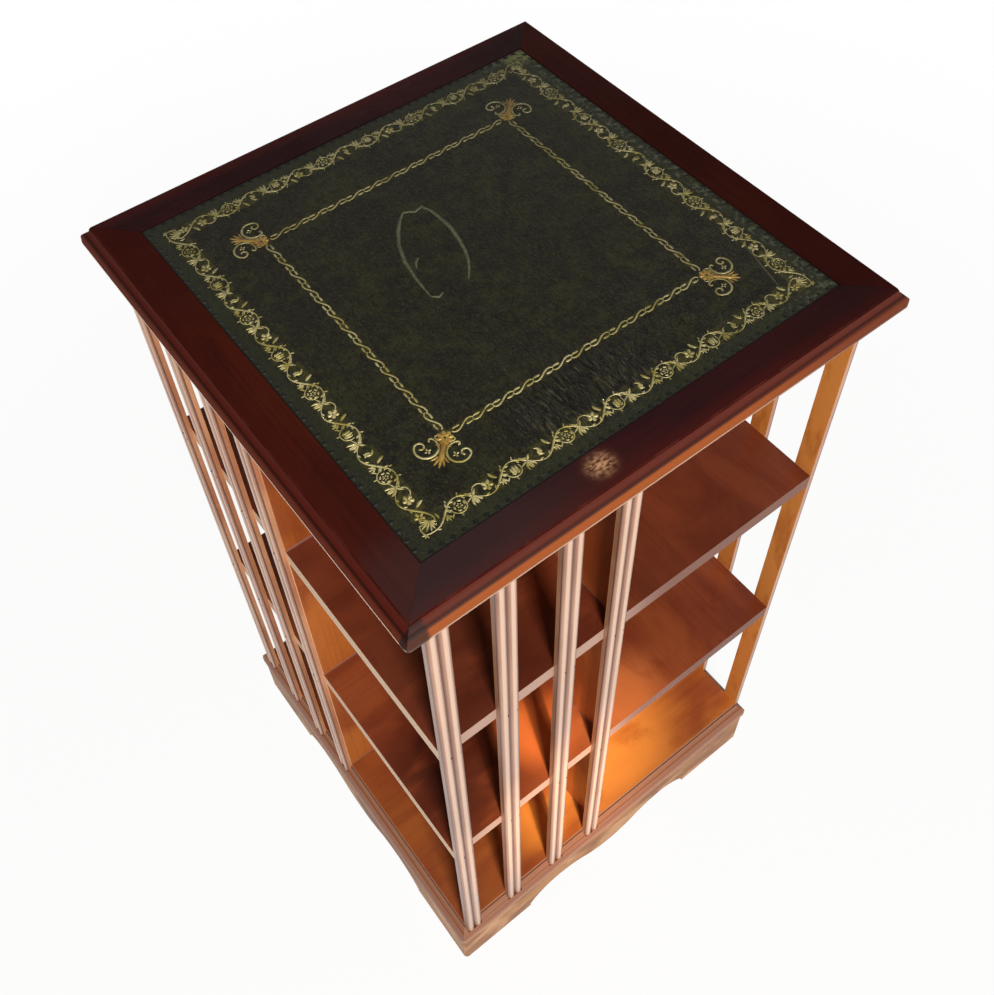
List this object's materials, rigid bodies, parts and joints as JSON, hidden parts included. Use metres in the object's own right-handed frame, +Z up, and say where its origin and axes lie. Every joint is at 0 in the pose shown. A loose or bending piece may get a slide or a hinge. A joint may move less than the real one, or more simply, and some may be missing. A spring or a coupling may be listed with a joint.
{
  "type": "revolving bookcase",
  "caption": "Square tiered revolving bookcase with reeded slats, pinwheel compartments, leather-inset moulded top and bracket plinth, turning on a central spindle.",
  "frame": {"origin": "centre of the footprint on the floor, on the spindle axis", "axes": "+Z up along the spindle, -Y out of the front, +X to the right seen from the front"},
  "size_m": [0.4784, 0.4784, 0.866],
  "materials": {
    "plinth_mahogany": "satin lacquer",
    "slat_mahogany": "satin lacquer",
    "top_mahogany": "dark gloss polish",
    "case_mahogany": "gloss lacquer",
    "carcase_softwood": "bare",
    "green_leather": "waxed, gilt tooled",
    "zinc_steel": "zinc plated",
    "turned_steel": "turned",
    "roller_steel": "polished",
    "bearing_brass": "turned"
  },
  "bodies": {
    "plinth": {"apron_back": "plinth_mahogany", "apron_front": "plinth_mahogany", "apron_left": "plinth_mahogany", "apron_right": "plinth_mahogany", "corner_blocks": "carcase_softwood", "plinth_deck": "carcase_softwood", "spindle": "turned_steel", "spindle_washer": "zinc_steel", "spindle_nut": "zinc_steel", "swivel_plate_lower": "zinc_steel"},
    "roller_cage": {"roller_cage": "bearing_brass", "rollers": "roller_steel"},
    "carcase": {"bottom_board": "case_mahogany", "leather": "green_leather", "partition_back": "case_mahogany", "partition_front": "case_mahogany", "partition_left": "case_mahogany", "partition_right": "case_mahogany", "shelf_lower_back": "case_mahogany", "shelf_lower_front": "case_mahogany", "shelf_lower_left": "case_mahogany", "shelf_lower_right": "case_mahogany", "shelf_upper_back": "case_mahogany", "shelf_upper_front": "case_mahogany", "shelf_upper_left": "case_mahogany", "shelf_upper_right": "case_mahogany", "slat_back_1": "slat_mahogany", "slat_back_2": "slat_mahogany", "slat_back_3": "slat_mahogany", "slat_back_4": "slat_mahogany", "slat_front_1": "slat_mahogany", "slat_front_2": "slat_mahogany", "slat_front_3": "slat_mahogany", "slat_front_4": "slat_mahogany", "slat_left_1": "slat_mahogany", "slat_left_2": "slat_mahogany", "slat_left_3": "slat_mahogany", "slat_left_4": "slat_mahogany", "slat_right_1": "slat_mahogany", "slat_right_2": "slat_mahogany", "slat_right_3": "slat_mahogany", "slat_right_4": "slat_mahogany", "spindle_bush": "bearing_brass", "swivel_plate_upper": "zinc_steel", "top_panel": "carcase_softwood", "top_rail_back": "top_mahogany", "top_rail_front": "top_mahogany", "top_rail_left": "top_mahogany", "top_rail_right": "top_mahogany"}
  },
  "joints": [
    {"name": "revolve", "type": "hinge", "parent": "plinth", "child": "carcase", "pos_m": [0, 0, 0.07], "axis": [0, 0, 1], "continuous": true},
    {"name": "cage_orbit", "type": "hinge", "parent": "plinth", "child": "roller_cage", "pos_m": [0, 0, 0.067], "axis": [0, 0, 1], "continuous": true}
  ],
  "couplings": [
    {"joint": "cage_orbit", "follows": "revolve", "ratio": 0.5}
  ]
}
